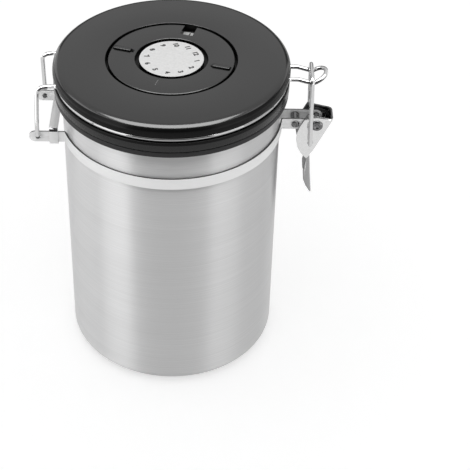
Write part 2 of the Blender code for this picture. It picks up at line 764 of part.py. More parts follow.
def half_lid_wire(side):
    """Corners from one hinge pin's end, up the leg, round half the lid and out to the catch loop."""
    radius = COVER_SKIRT_RADIUS + GAP + WIRE_RADIUS
    catch_y = side * CATCH_HALF_WIDTH
    latch_angle = -math.asin(CATCH_HALF_WIDTH / radius) + math.tau
    corners = [
        (Vector((HINGE_X, side * LEG_PIN_END_Y, STRAP_AXIS_Z)), 0.0),
        (Vector((HINGE_X, side * LEG_FOOT_Y, STRAP_AXIS_Z)), LEG_FOOT_BEND),
        (Vector((HINGE_X, side * LEG_FOOT_Y, LEG_STRAIGHT_TOP)), LEG_LEAN_BEND),
        (Vector((LEG_TOP_X, side * LEG_TOP_Y, LEG_TOP_Z)), LEG_TOP_BEND),
        (Vector((LEG_JOIN_X, side * LEG_TOP_Y, LID_WIRE_Z)), 0.0),
    ]
    for step in range(RING_STEPS + 1):
        angle = RING_LEG_ANGLE + (latch_angle - RING_LEG_ANGLE) * step / RING_STEPS
        place = polar(radius, -side * angle, LID_WIRE_Z)
        corners.append((place, RING_BEND if step in (0, RING_STEPS) else 0.0))
    corners += [
        (Vector((CATCH_START_X, catch_y, LID_WIRE_Z)), CATCH_BEND),
        (Vector((CATCH_CROOK_X, catch_y, CATCH_CROOK_Z)), CATCH_BEND),
        (Vector((CATCH_END_X, catch_y, CATCH_END_Z)), CATCH_HALF_WIDTH),
    ]
    return corners


def lid_wire():
    front = half_lid_wire(FRONT)
    rear = half_lid_wire(REAR)
    points = rounded_path(front + rear[::-1])
    return bend_wire("lid_wire", points, steel("lid_wire_bright_wire", 0.12))


# Lid


def cover_profile():
    """From the boss on the well's floor, over the rim, down the skirt and back underneath."""
    boss_top = WELL_FLOOR + BOSS_HEIGHT
    step = LID_WIRE_Z + WIRE_RADIUS + COVER_STEP_GAP
    skirt_inner = COVER_SKIRT_RADIUS - COVER_SKIRT_SHEET
    ceiling = COVER_TOP - COVER_SHEET
    profile = [(0.0, boss_top), (BOSS_RADIUS, boss_top), (BOSS_RADIUS, WELL_FLOOR)]
    profile += [(WELL_RADIUS, WELL_FLOOR), (WELL_RADIUS, COVER_TOP)]
    round_x = COVER_RADIUS - COVER_ROUND
    profile += arc(round_x, COVER_TOP - COVER_ROUND, COVER_ROUND, 1, 0, COVER_ROUND_STEPS)
    profile += [(COVER_RADIUS, step), (COVER_SKIRT_RADIUS, step)]
    profile += [(COVER_SKIRT_RADIUS, COVER_SKIRT_BOTTOM), (skirt_inner, COVER_SKIRT_BOTTOM)]
    profile += [(skirt_inner, ceiling), (WELL_RADIUS + COVER_SHEET, ceiling)]
    profile += [(WELL_RADIUS + COVER_SHEET, WELL_FLOOR - WELL_SHEET), (0.0, WELL_FLOOR - WELL_SHEET)]
    return profile


def lid_cover():
    material = black_plastic("lid_cover_black", 0.22)
    cover = turn_profile("lid_cover", cover_profile(), BODY_STEPS, material)
    for index in range(AIR_HOLE_COUNT):
        centre = polar(AIR_HOLE_CIRCLE, math.tau * index / AIR_HOLE_COUNT)
        drill_down(cover, centre, AIR_HOLE_RADIUS, WELL_FLOOR - WELL_SHEET, WELL_FLOOR)
    return cover


def plug_profile():
    """Down the flange and the cup to the floor, and back up inside."""
    upstand_top = LID_WIRE_Z - WIRE_RADIUS - GAP
    upstand_inner = COVER_SKIRT_RADIUS + GAP
    flange_top = COVER_SKIRT_BOTTOM - GAP
    cup_inner = PLUG_CUP_RADIUS - PLUG_CUP_SHEET
    floor_top = PLUG_BOTTOM + PLUG_FLOOR_SHEET
    return [
        (PLUG_RADIUS, upstand_top),
        (PLUG_RADIUS, PLUG_FLANGE_BOTTOM),
        (PLUG_CUP_RADIUS, PLUG_FLANGE_BOTTOM),
        (PLUG_CUP_RADIUS, PLUG_BOTTOM + PLUG_STRAIGHT_RISE),
        (PLUG_CUP_RADIUS - PLUG_TAPER_INSET, PLUG_BOTTOM + PLUG_TAPER_RISE),
        (PLUG_CUP_RADIUS - PLUG_HEEL_INSET, PLUG_BOTTOM + PLUG_HEEL_RISE),
        (PLUG_CUP_RADIUS - PLUG_FLOOR_INSET, PLUG_BOTTOM),
        (VALVE_HOLE_RADIUS, PLUG_BOTTOM),
        (VALVE_HOLE_RADIUS, floor_top),
        (PLUG_CUP_RADIUS - PLUG_WELL_INSET, floor_top),
        (cup_inner, PLUG_BOTTOM + PLUG_WELL_RISE),
        (cup_inner, flange_top),
        (upstand_inner, flange_top),
        (upstand_inner, upstand_top),
    ]


def lid_plug():
    material = black_plastic("lid_plug_black", 0.3)
    return turn_profile("lid_plug", plug_profile(), BODY_STEPS, material, ring=True)


def lid_gasket():
    """A seal round the cup, with a lip that enters the mouth."""
    top = PLUG_FLANGE_BOTTOM - GAP
    inner = PLUG_CUP_RADIUS + GAP
    profile = [
        (GASKET_RADIUS, top),
        (GASKET_RADIUS, GASKET_BOTTOM + GASKET_CHAMFER),
        (GASKET_RADIUS - GASKET_CHAMFER, GASKET_BOTTOM),
        (GASKET_LIP_RADIUS, GASKET_BOTTOM),
        (GASKET_LIP_RADIUS - GASKET_LIP_TAPER, GASKET_BOTTOM - GASKET_LIP_DEPTH),
        (inner, GASKET_BOTTOM - GASKET_LIP_DEPTH),
        (inner, top),
    ]
    material = finish("lid_gasket_rubber", (0.03, 0.03, 0.032), 0.55)
    return turn_profile("lid_gasket", profile, BODY_STEPS, material, ring=True)


# Dials


def day_plate():
    profile = [
        (PLATE_RADIUS, PLATE_TOP),
        (PLATE_RADIUS, PLATE_BOTTOM),
        (PLATE_INNER_RADIUS, PLATE_BOTTOM),
        (PLATE_INNER_RADIUS, PLATE_TOP),
    ]
    material = finish("day_plate_white", (0.72, 0.72, 0.71), 0.45)
    return turn_profile("day_plate", profile, DIAL_STEPS, material, ring=True)


def date_disc():
    """A disc that turns over the plate, with a window to it, a pointer groove and two grip bars."""
    profile = [
        (DISC_RADIUS - DISC_EDGE, COVER_TOP),
        (DISC_RADIUS, COVER_TOP - DISC_EDGE),
        (DISC_RADIUS, DISC_BOTTOM),
        (DISC_SEAT_RADIUS, DISC_BOTTOM),
        (DISC_SEAT_RADIUS, DISC_SEAT_TOP),
        (DISC_BORE_RADIUS, DISC_SEAT_TOP),
        (DISC_BORE_RADIUS, COVER_TOP - DISC_LIP_DEPTH),
        (DISC_LIP_RADIUS, COVER_TOP),
    ]
    material = black_plastic("date_disc_black", 0.35)
    disc = turn_profile("date_disc", profile, BODY_STEPS, material, ring=True)
    for index, angle in enumerate(GRIP_ANGLES):
        low = COVER_TOP - GRIP_HEIGHT
        high = COVER_TOP + GRIP_HEIGHT
        name = f"grip_bar_{index}"
        bar = radial_block(name, GRIP_INNER_RADIUS, GRIP_OUTER_RADIUS, GRIP_WIDTH, low, high, angle)
        apply_boolean(disc, bar, "UNION")
    window = radial_block(
        "date_window",
        WINDOW_INNER_RADIUS,
        DISC_RADIUS + CUT_OVERRUN,
        WINDOW_WIDTH,
        DISC_BOTTOM - CUT_OVERRUN,
        COVER_TOP + CUT_OVERRUN,
        WINDOW_ANGLE,
    )
    apply_boolean(disc, window, "DIFFERENCE")
    pointer = radial_block(
        "pointer_groove",
        POINTER_INNER_RADIUS,
        POINTER_OUTER_RADIUS,
        POINTER_WIDTH,
        COVER_TOP - POINTER_DEPTH,
        COVER_TOP + CUT_OVERRUN,
        POINTER_ANGLE,
    )
    apply_boolean(disc, pointer, "DIFFERENCE")
    return disc


def month_dial():
    """A white cap that turns on the boss at the middle of the well."""
    bore_top = WELL_FLOOR + BOSS_HEIGHT + GAP
    skirt_bottom = WELL_FLOOR + DIAL_SKIRT_LIFT
    profile = [
        (0.0, DIAL_TOP),
        (DIAL_RADIUS - DISC_EDGE, DIAL_TOP),
        (DIAL_RADIUS, DIAL_TOP - DISC_EDGE),
        (DIAL_RADIUS, DIAL_BOTTOM),
        (DIAL_SKIRT_RADIUS, DIAL_BOTTOM),
        (DIAL_SKIRT_RADIUS, skirt_bottom),
        (DIAL_BORE, skirt_bottom),
        (DIAL_BORE, bore_top),
        (0.0, bore_top),
    ]
    material = finish("month_dial_white", (0.8, 0.8, 0.79), 0.4)
    return turn_profile("month_dial", profile, DIAL_STEPS, material)


# One-way valve


def valve_body():
    """A flange under the plug's floor, a neck through it, and a web with vents inside the neck."""
    neck = VALVE_HOLE_RADIUS - GAP
    profile = [
        (neck, VALVE_NECK_TOP),
        (neck, VALVE_FLANGE_TOP),
        (VALVE_FLANGE_RADIUS, VALVE_FLANGE_TOP),
        (VALVE_FLANGE_RADIUS, VALVE_FLANGE_BOTTOM),
        (VALVE_RABBET_RADIUS, VALVE_FLANGE_BOTTOM),
        (VALVE_RABBET_RADIUS, VALVE_WEB_BOTTOM),
        (STEM_HOLE_RADIUS, VALVE_WEB_BOTTOM),
        (STEM_HOLE_RADIUS, VALVE_WEB_TOP),
        (neck - VALVE_NECK_SHEET, VALVE_WEB_TOP),
        (neck - VALVE_NECK_SHEET, VALVE_NECK_TOP),
    ]
    material = black_plastic("valve_body_black", 0.4)
    body = turn_profile("valve_body", profile, VALVE_STEPS, material, ring=True)
    for index in range(VENT_COUNT):
        centre = polar(VENT_CIRCLE, math.tau * index / VENT_COUNT)
        drill_down(body, centre, VENT_RADIUS, VALVE_WEB_BOTTOM, VALVE_WEB_TOP)
    return body


def valve_flap():
    """A rubber disc over the vents, with its stem through the web and a bulb below."""
    disc_bottom = VALVE_WEB_TOP + GAP
    disc_top = disc_bottom + FLAP_SHEET
    profile = [
        (0.0, disc_top),
        (FLAP_RADIUS, disc_top),
        (FLAP_RADIUS, disc_bottom),
        (STEM_RADIUS, disc_bottom),
        (STEM_RADIUS, BULB_TOP),
        (BULB_RADIUS, BULB_TOP),
        (STEM_RADIUS, BULB_BOTTOM),
        (0.0, BULB_BOTTOM),
    ]
    material = finish("valve_flap_silicone", (0.6, 0.6, 0.58), 0.5)
    return turn_profile("valve_flap", profile, VALVE_STEPS, material)


def valve_grille():
    """A pierced cup under the valve that keeps grounds out."""
    plate = GRILLE_BOTTOM + GRILLE_SHEET
    wall_top = VALVE_FLANGE_BOTTOM - GAP
    wall_inner = GRILLE_RADIUS - GRILLE_WALL
    profile = [
        (0.0, plate),
        (wall_inner, plate),
        (wall_inner, wall_top),
        (GRILLE_RADIUS, wall_top),
        (GRILLE_RADIUS, GRILLE_BOTTOM),
        (0.0, GRILLE_BOTTOM),
    ]
    material = black_plastic("valve_grille_black", 0.45)
    grille = turn_profile("valve_grille", profile, VALVE_STEPS, material)
    for radius, count in GRILLE_CIRCLES:
        for index in range(count):
            centre = polar(radius, math.tau * index / count)
            drill_down(grille, centre, GRILLE_HOLE_RADIUS, GRILLE_BOTTOM, plate)
    return grille


# Assembly


def fixed_pieces():
    canister_body()
    neck_strap("neck_strap_front", FRONT)
    neck_strap("neck_strap_rear", REAR)
    hinge_clip()
    strap_rivet()
    strap_spacer()
    lever_rivet()


def latch():
    lever = latch_lever()
    latch_bail(lever)


def lid():
    """Everything that swings up with the lid, carried by an axis through the hinge pins."""
    axis = add_axis("lid_hinge_axis", (HINGE_X, 0.0, STRAP_AXIS_Z))
    pieces = [lid_cover(), lid_plug(), lid_gasket(), lid_wire()]
    pieces += [day_plate(), date_disc(), month_dial()]
    pieces += [valve_body(), valve_flap(), valve_grille()]
    for piece in pieces:
        carry(piece, axis)


fixed_pieces()
latch()
lid()
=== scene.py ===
"""Looks of the coffee canister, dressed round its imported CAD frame."""

import math

import bmesh
import bpy
from mathutils import Matrix, Vector

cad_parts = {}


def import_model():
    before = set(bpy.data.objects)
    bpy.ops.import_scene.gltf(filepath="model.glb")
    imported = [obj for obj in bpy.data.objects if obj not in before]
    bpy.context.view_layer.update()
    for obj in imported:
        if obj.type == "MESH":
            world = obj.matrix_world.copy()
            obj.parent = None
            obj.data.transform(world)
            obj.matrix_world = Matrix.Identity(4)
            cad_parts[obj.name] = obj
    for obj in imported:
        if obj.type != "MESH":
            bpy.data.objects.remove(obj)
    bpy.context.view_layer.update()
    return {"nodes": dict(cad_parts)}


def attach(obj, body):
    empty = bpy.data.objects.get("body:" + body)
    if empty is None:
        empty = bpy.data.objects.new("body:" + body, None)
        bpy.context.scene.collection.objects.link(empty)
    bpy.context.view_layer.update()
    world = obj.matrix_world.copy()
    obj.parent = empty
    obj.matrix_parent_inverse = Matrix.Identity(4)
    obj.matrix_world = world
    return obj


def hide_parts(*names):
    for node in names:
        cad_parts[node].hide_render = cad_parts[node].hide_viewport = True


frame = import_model()
MM = 0.001

# Sizes shared with the part
GAP = 0.3 * MM
BODY_RADIUS = 57.6 * MM
BODY_WALL = 0.6 * MM
STRAP_AXIS_Z = 141.3 * MM
STRAP_HEIGHT = 6.5 * MM
STRAP_SHEET = 0.8 * MM
HINGE_X = -69.5 * MM
HINGE_EAR_Y = 18.9 * MM
HINGE_EAR_TIP_X = -74.2 * MM
LATCH_EAR_Y = 4.3 * MM
LATCH_EAR_TIP_X = 80.2 * MM
TIE_X = 65.7 * MM
LEVER_X = 77 * MM
LEVER_LENGTH = 50 * MM
LEVER_HALF_WIDTH = 5.5 * MM
LEVER_SHEET = 0.9 * MM
LEVER_PIVOT = Vector((LEVER_X, 0.0, STRAP_AXIS_Z))
BAIL_PIVOT = LEVER_PIVOT + Vector((-0.061, 0.0, -0.227)) * LEVER_LENGTH
WIRE_RADIUS = 1.15 * MM
WIRE_HOLE_RADIUS = 1.35 * MM
TIE_HOLE_RADIUS = 1.4 * MM
LEVER_HOLE_RADIUS = 1.7 * MM
LID_WIRE_Z = 170.3 * MM
WINDOW_ANGLE = math.radians(72.7)
PLATE_TOP = 174.9 * MM
CUT_OVERRUN = 3 * MM

# Sizes of the visible surface alone, read off the photo
SKIRT_RADIUS = 58.6 * MM
RING_GAP = 0.2 * MM
RING_RADIUS = SKIRT_RADIUS + RING_GAP + WIRE_RADIUS
DIAL_TOP = 178.2 * MM
DIAL_TWELVE_ANGLE = math.radians(21.7)
PRINT_DEPTH = 0.04 * MM
SHEET_EDGE = 0.15 * MM


# Paths and profiles


def polar(radius, angle, height=0.0):
    return Vector((radius * math.cos(angle), radius * math.sin(angle), height))


def bend(before, corner, after, radius, step):
    """Points of the arc that rounds a corner."""
    back = (before - corner).normalized()
    onward = (after - corner).normalized()
    half = back.angle(onward) / 2
    centre = corner + (back + onward).normalized() * (radius / math.sin(half))
    spoke = corner + back * (radius / math.tan(half)) - centre
    axis = back.cross(onward).normalized()
    turn = math.pi - 2 * half
    steps = max(2, math.ceil(turn / step))
    return [centre + Matrix.Rotation(-turn * n / steps, 3, axis) @ spoke for n in range(steps + 1)]


def rounded_path(corners, step=math.radians(9)):
    """Points of a path given as (corner, bend radius) pairs."""
    points = [corners[0][0]]
    for (before, _), (corner, radius), (after, _) in zip(corners, corners[1:], corners[2:]):
        points.extend(bend(before, corner, after, radius, step) if radius else [corner])
    points.append(corners[-1][0])
    kept = [points[0]]
    for point in points[1:]:
        if (point - kept[-1]).length > 1e-5:
            kept.append(point)
    return kept


def soft_profile(corners, closed=False, step=math.radians(15)):
    """(radius, height) points in mm with a fillet at each (radius, height, fillet) corner."""
    places = [(Vector((r * MM, 0.0, z * MM)), f * MM) for r, z, f in corners]
    if closed:
        places = [places[-1]] + places + [places[0]]
        path = rounded_path(places, step)[1:-1]
    else:
        path = rounded_path(places, step)
    return [(p.x, p.z) for p in path]


# Meshes


def finish_mesh(mesh, angle=math.radians(32)):
    mesh.shade_smooth()
    mesh.set_sharp_from_angle(angle=angle)
    return mesh


def link(name, data, material):
    obj = bpy.data.objects.new(name, data)
    bpy.context.scene.collection.objects.link(obj)
    data.materials.append(material)
    return obj


def revolve(name, profile, steps, material, closed=False):
    """A solid turned round Z from (radius, height) points; a radius of 0 is one point on the axis."""
    points = []
    rings = []
    for radius, height in profile:
        if radius < 1e-7:
            rings.append([len(points)] * steps)
            points.append((0.0, 0.0, height))
        else:
            rings.append(list(range(len(points), len(points) + steps)))
            points += [tuple(polar(radius, math.tau * n / steps, height)) for n in range(steps)]
    pairs = list(zip(rings, rings[1:]))
    if closed:
        pairs.append((rings[-1], rings[0]))
    faces = []
    for upper, lower in pairs:
        for n in range(steps):
            m = (n + 1) % steps
            corners = dict.fromkeys((upper[n], lower[n], lower[m], upper[m]))
            faces.append(tuple(corners))
    mesh = bpy.data.meshes.new(name)
    mesh.from_pydata(points, [], faces)
    return link(name, finish_mesh(mesh), material)


def second_material(obj, material, chosen):
    """Give the chosen faces another material."""
    obj.data.materials.append(material)
    slot = len(obj.data.materials) - 1
    for face in obj.data.polygons:
        if chosen(face):
            face.material_index = slot


def bake(obj, angle=math.radians(32)):
    """Apply the modifiers of obj to its mesh."""
    bpy.context.view_layer.update()
    graph = bpy.context.evaluated_depsgraph_get()
    mesh = bpy.data.meshes.new_from_object(obj.evaluated_get(graph))
    obj.modifiers.clear()
    obj.data = mesh
    finish_mesh(mesh, angle)


def sheet(name, path, across, thickness, material, tip_radius=0.0):
    """A strip of sheet along a path, as wide as across, with its corners rounded by tip_radius."""
    shape = bmesh.new()
    corners = [shape.verts.new(point) for point in path]
    for start, end in zip(corners, corners[1:]):
        shape.edges.new((start, end))
    grown = bmesh.ops.extrude_edge_only(shape, edges=shape.edges[:])["geom"]
    moved = [item for item in grown if isinstance(item, bmesh.types.BMVert)]
    bmesh.ops.translate(shape, verts=moved, vec=across)
    if tip_radius:
        tips = [vert for vert in shape.verts if len(vert.link_edges) == 2]
        bmesh.ops.bevel(shape, geom=tips, offset=tip_radius, segments=10, profile=0.5, affect="VERTICES")
    mesh = bpy.data.meshes.new(name)
    shape.to_mesh(mesh)
    shape.free()
    obj = link(name, mesh, material)
    solidify = obj.modifiers.new("sheet", "SOLIDIFY")
    solidify.thickness = thickness
    solidify.offset = 0.0
    solidify.use_even_offset = True
    return obj


def soften_edges(obj, width, segments=2, angle=math.radians(40)):
    bevel = obj.modifiers.new("edges", "BEVEL")
    bevel.width = width
    bevel.segments = segments
    bevel.limit_method = "ANGLE"
    bevel.angle_limit = angle
    bevel.use_clamp_overlap = True
    bevel.harden_normals = True


def tool(shape):
    """An object made of a bmesh, to cut with or to join to another."""
    mesh = bpy.data.meshes.new("tool")
    shape.to_mesh(mesh)
    shape.free()
    obj = bpy.data.objects.new("tool", mesh)
    bpy.context.scene.collection.objects.link(obj)
    return obj


def rod(radius, start, end, steps=40):
    shape = bmesh.new()
    span = end - start
    bmesh.ops.create_cone(
        shape, cap_ends=True, segments=steps, radius1=radius, radius2=radius, depth=span.length
    )
    turn = span.to_track_quat("Z", "Y").to_matrix().to_4x4()
    bmesh.ops.transform(shape, matrix=Matrix.Translation((start + end) / 2) @ turn, verts=shape.verts)
    return tool(shape)


def pin_hole(radius, place, half_width):
    """A rod through a place, along Y, that overruns half_width on both sides."""
    reach = half_width + CUT_OVERRUN
    return rod(radius, Vector((place.x, -reach, place.z)), Vector((place.x, reach, place.z)))


def block(inner, outer, width, bottom, top, angle):
    """A box between two distances from Z, turned round Z to an angle."""
    shape = bmesh.new()
    bmesh.ops.create_cube(shape, size=1.0)
    bmesh.ops.scale(shape, vec=(outer - inner, width, top - bottom), verts=shape.verts)
    bmesh.ops.translate(shape, vec=((inner + outer) / 2, 0.0, (bottom + top) / 2), verts=shape.verts)
    bmesh.ops.rotate(shape, matrix=Matrix.Rotation(angle, 3, "Z"), verts=shape.verts)
    return tool(shape)


def boolean(obj, tools, operation="DIFFERENCE"):
    """Cut or join the tools into obj for good, and drop them."""
    for used in tools:
        modifier = obj.modifiers.new("cut", "BOOLEAN")
        modifier.operation = operation
        modifier.solver = "EXACT"
        modifier.object = used
    bake(obj)
    for used in tools:
        bpy.data.objects.remove(used)


def wire(name, points, material):
    """A round wire through the points."""
    curve = bpy.data.curves.new(name, "CURVE")
    curve.dimensions = "3D"
    curve.bevel_depth = WIRE_RADIUS
    curve.bevel_resolution = 8
    curve.use_fill_caps = True
    spline = curve.splines.new("POLY")
    spline.points.add(len(points) - 1)
    for point, place in zip(spline.points, points):
        point.co = (*place, 1.0)
    obj = bpy.data.objects.new(name, curve)
    bpy.context.scene.collection.objects.link(obj)
    bpy.context.view_layer.update()
    mesh = bpy.data.meshes.new_from_object(obj.evaluated_get(bpy.context.evaluated_depsgraph_get()))
    bpy.data.objects.remove(obj)
    mesh.name = name
    mesh.materials.clear()
    return link(name, finish_mesh(mesh, math.radians(50)), material)


# Materials

# The part of a noise's range that its colours and roughness span
NOISE_LOW = 0.3
NOISE_HIGH = 0.7


def nodes_of(name):
    material = bpy.data.materials.new(name)
    material.use_nodes = True
    tree = material.node_tree
    return material, tree, tree.nodes["Principled BSDF"]


def add(tree, kind, **values):
    """A new node with values for its inputs, or for its settings where no input has the name."""
    node = tree.nodes.new(kind)
    for key, value in values.items():
        socket = node.inputs.get(key)
        if socket is None:
            setattr(node, key, value)
        else:
            socket.default_value = value
    return node


def stretched_noise(tree, scale, density, detail, rough=0.55):
    """Noise over the object's own place, drawn out along the axes with a small scale."""
    place = add(tree, "ShaderNodeTexCoord")
    mapping = add(tree, "ShaderNodeMapping", Scale=scale)
    noise = add(tree, "ShaderNodeTexNoise", Scale=density, Detail=detail, Roughness=rough)
    tree.links.new(place.outputs["Object"], mapping.inputs["Vector"])
    tree.links.new(mapping.outputs["Vector"], noise.inputs["Vector"])
    return noise


def ranged(tree, source, low, high):
    """The noise's middle range, stretched to run from low to high."""
    span = add(tree, "ShaderNodeMapRange")
    span.inputs["From Min"].default_value = NOISE_LOW
    span.inputs["From Max"].default_value = NOISE_HIGH
    span.inputs["To Min"].default_value = low
    span.inputs["To Max"].default_value = high
    tree.links.new(source.outputs[0], span.inputs["Value"])
    return span


def tint(tree, source, dark, light, shader):
    ramp = add(tree, "ShaderNodeValToRGB")
    ramp.color_ramp.elements[0].position = NOISE_LOW
    ramp.color_ramp.elements[0].color = (*dark, 1.0)
    ramp.color_ramp.elements[1].position = NOISE_HIGH
    ramp.color_ramp.elements[1].color = (*light, 1.0)
    tree.links.new(source.outputs[0], ramp.inputs["Fac"])
    tree.links.new(ramp.outputs["Color"], shader.inputs["Base Color"])


def bumped(tree, source, strength, distance, shader):
    bump = add(tree, "ShaderNodeBump", Strength=strength, Distance=distance)
    tree.links.new(source.outputs[0], bump.inputs["Height"])
    tree.links.new(bump.outputs["Normal"], shader.inputs["Normal"])


def brushed_steel(name, colour, low, high, streak, anisotropy, metallic=1.0):
    """Steel brushed round the can: fine streaks round it, highlights drawn out upright."""
    material, tree, shader = nodes_of(name)
    shader.inputs["Metallic"].default_value = metallic
    shader.inputs["Anisotropic"].default_value = anisotropy
    shader.inputs["Anisotropic Rotation"].default_value = 0.25
    tangent = add(tree, "ShaderNodeTangent", direction_type="RADIAL", axis="Z")
    tree.links.new(tangent.outputs[0], shader.inputs["Tangent"])
    streaks = stretched_noise(tree, (14.0, 14.0, 2600.0), 1.0, 6.0, 0.6)
    dark = tuple((1.0 - streak) * c for c in colour)
    tint(tree, streaks, dark, colour, shader)
    rough = ranged(tree, streaks, low, high)
    tree.links.new(rough.outputs[0], shader.inputs["Roughness"])
    bumped(tree, streaks, 0.05, 0.00004, shader)
    return material


def polished_steel(name, colour, low, high):
    """Pressed or drawn steel with a soft mottle and faint rub marks."""
    material, tree, shader = nodes_of(name)
    shader.inputs["Metallic"].default_value = 1.0
    marks = stretched_noise(tree, (1.0, 1.0, 1.0), 700.0, 5.0)
    dark = tuple(0.93 * c for c in colour)
    tint(tree, marks, dark, colour, shader)
    rough = ranged(tree, marks, low, high)
    tree.links.new(rough.outputs[0], shader.inputs["Roughness"])
    bumped(tree, marks, 0.03, 0.00003, shader)
    return material


def plastic(name, colour, low, high, grain, depth, specular=0.5):
    """Plastic or rubber with a fine grain, both in its colour and in its surface."""
    material, tree, shader = nodes_of(name)
    shader.inputs["Specular IOR Level"].default_value = specular
    marks = stretched_noise(tree, (1.0, 1.0, 1.0), grain, 3.0)
    dark = tuple(0.9 * c for c in colour)
    tint(tree, marks, dark, colour, shader)
    rough = ranged(tree, marks, low, high)
    tree.links.new(rough.outputs[0], shader.inputs["Roughness"])
    bumped(tree, marks, depth, 0.00004, shader)
    return material


STEEL = brushed_steel("brushed_steel", (0.66, 0.66, 0.662), 0.4, 0.5, 0.14, 0.95)
STRAP = brushed_steel("satin_strap", (0.76, 0.76, 0.76), 0.6, 0.7, 0.04, 0.3, 0.2)
# Painted shade: a dark steel for the strap's top edge, standing for the shadow line above the strap
STRAP_TOP_SHADE = polished_steel("strap_top_painted_shade", (0.1, 0.1, 0.1), 0.3, 0.4)
PRESSED = polished_steel("pressed_lever", (0.88, 0.88, 0.88), 0.12, 0.2)
# Painted shade: a dark steel for shade and dark reflections, on the clip's folds and inside the lever's
# channel
PAINTED_SHADE_STEEL = polished_steel("painted_shade_steel", (0.19, 0.19, 0.192), 0.12, 0.2)
# Painted shade: a darker copy of the lever's steel for its thumb tab, standing for shade on it
THUMB_PAINTED_SHADE = polished_steel("thumb_tab_painted_shade", (0.4, 0.4, 0.402), 0.24, 0.27)
BRIGHT = polished_steel("bright_wire", (0.78, 0.78, 0.782), 0.04, 0.08)
# Painted shade: a darker copy of the bright wire's steel for the ring under the cover's edge
RING_SHADE_STEEL = polished_steel("ring_wire", (0.42, 0.42, 0.421), 0.04, 0.08)
# Painted reflection: a dark steel for the wire's lower flanks and leg feet, for dark reflections on them
PAINTED_WIRE_SHADE = polished_steel("painted_wire_shade", (0.12, 0.12, 0.121), 0.06, 0.1)
RIVET = polished_steel("rivet_steel", (0.2, 0.2, 0.202), 0.1, 0.16)
LID_BLACK = plastic("lid_black", (0.005, 0.005, 0.005), 0.13, 0.19, 900.0, 0.012, 0.85)
# Painted shade: a black with dimmer gloss for sides, walls and recesses, where the plastic looks darker
# in shade
PAINTED_SHADE_BLACK = plastic("painted_shade_black", (0.004, 0.004, 0.004), 0.2, 0.28, 900.0, 0.012, 0.12)
PLUG_BLACK = plastic("plug_black", (0.006, 0.006, 0.006), 0.22, 0.3, 900.0, 0.03, 0.42)
GASKET = plastic("gasket_rubber", (0.01, 0.01, 0.0105), 0.4, 0.55, 1200.0, 0.06, 0.36)
DISC_BLACK = plastic("disc_black", (0.006, 0.006, 0.006), 0.2, 0.26, 1400.0, 0.012, 0.85)
POINTER = plastic("pointer_grey", (0.25, 0.25, 0.252), 0.4, 0.5, 1400.0, 0.02)
DIAL_WHITE = plastic("dial_white", (0.95, 0.95, 0.945), 0.35, 0.45, 900.0, 0.02)
PLATE_WHITE = plastic("plate_white", (0.92, 0.92, 0.91), 0.4, 0.5, 900.0, 0.02)
VALVE_BLACK = plastic("valve_black", (0.02, 0.02, 0.021), 0.35, 0.45, 1200.0, 0.05)
FLAP = plastic("flap_silicone", (0.55, 0.55, 0.53), 0.4, 0.55, 1200.0, 0.04)
PRINT = plastic("dial_print", (0.015, 0.015, 0.016), 0.45, 0.55, 1500.0, 0.0)


# Canister body


def dress(piece, body, slot, *nodes):
    """Fix a piece to a body, standing for the CAD nodes named, which are hidden."""
    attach(piece, body)
    if nodes:
        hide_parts(*nodes)


def body_piece():
    """One drawn sheet: a rolled rim, a straight wall, a round heel and a ring pressed into the base."""
    radius = BODY_RADIUS / MM
    outside = soft_profile(
        [
            (59.4, 159.4, 0),
            (59.4, 160.0, 0.4),
            (radius, 160.0, 1.0),
            (radius, 0.0, 5.7),
            (40.0, 0.0, 0.4),
            (39.5, 0.5, 0.3),
            (38.9, 0.5, 0.3),
            (38.4, 0.0, 0.4),
            (0.0, 0.0, 0),
        ],
        step=math.radians(10),
    )
    piece = revolve("canister_body_shell", outside, 192, STEEL)
    solidify = piece.modifiers.new("sheet", "SOLIDIFY")
    solidify.thickness = BODY_WALL
    solidify.offset = -1.0
    solidify.use_even_offset = True
    bake(piece, math.radians(50))
    dress(piece, "canister", "body_steel", "canister_body")


body_piece()


# Straps, clip and rivets


EAR_FOLD = 1.2 * MM
EAR_ROUNDING = 0.96


def strap_path(side):
    """The lower edge of one half of the neck band, from the hinge ear's tip to the latch ear's."""
    radius = BODY_RADIUS + GAP + STRAP_SHEET / 2
    hinge_angle = math.pi - math.asin(HINGE_EAR_Y / radius)
    latch_angle = math.asin(LATCH_EAR_Y / radius)
    bottom = STRAP_AXIS_Z - STRAP_HEIGHT / 2
    steps = 60
    corners = [(Vector((HINGE_EAR_TIP_X, side * HINGE_EAR_Y, bottom)), 0.0)]
    for n in range(steps + 1):
        angle = hinge_angle + (latch_angle - hinge_angle) * n / steps
        corners.append((polar(radius, side * angle, bottom), EAR_FOLD if n in (0, steps) else 0.0))
    corners.append((Vector((LATCH_EAR_TIP_X, side * LATCH_EAR_Y, bottom)), 0.0))
    return rounded_path(corners)


def strap_piece(name, side, node):
    across = Vector((0.0, 0.0, STRAP_HEIGHT))
    piece = sheet(name, strap_path(side), across, STRAP_SHEET, STRAP, STRAP_HEIGHT / 2 * EAR_ROUNDING)
    bake(piece)
    low = min(0.0, side * HINGE_EAR_Y) - CUT_OVERRUN
    high = max(0.0, side * HINGE_EAR_Y) + CUT_OVERRUN
    holes = ((HINGE_X, WIRE_HOLE_RADIUS), (TIE_X, TIE_HOLE_RADIUS), (LEVER_X, LEVER_HOLE_RADIUS))
    tools = []
    for x, radius in holes:
        tools.append(rod(radius, Vector((x, low, STRAP_AXIS_Z)), Vector((x, high, STRAP_AXIS_Z))))
    boolean(piece, tools)
    soften_edges(piece, SHEET_EDGE)
    bake(piece)
    # Painted shade: the strap's upward faces get dark steel, for the shadow line along its top
    second_material(piece, STRAP_TOP_SHADE, lambda face: face.normal.z > 0.3)
    dress(piece, "canister", "strap_steel", node)


strap_piece("strap_front", -1, "neck_strap_front")
strap_piece("strap_rear", 1, "neck_strap_rear")


def on_upper_fold(face):
    """Whether a face of the clip slopes over one of its upper folds."""
    return 0.25 < face.normal.z < 0.9 and abs(face.normal.x) < 0.2


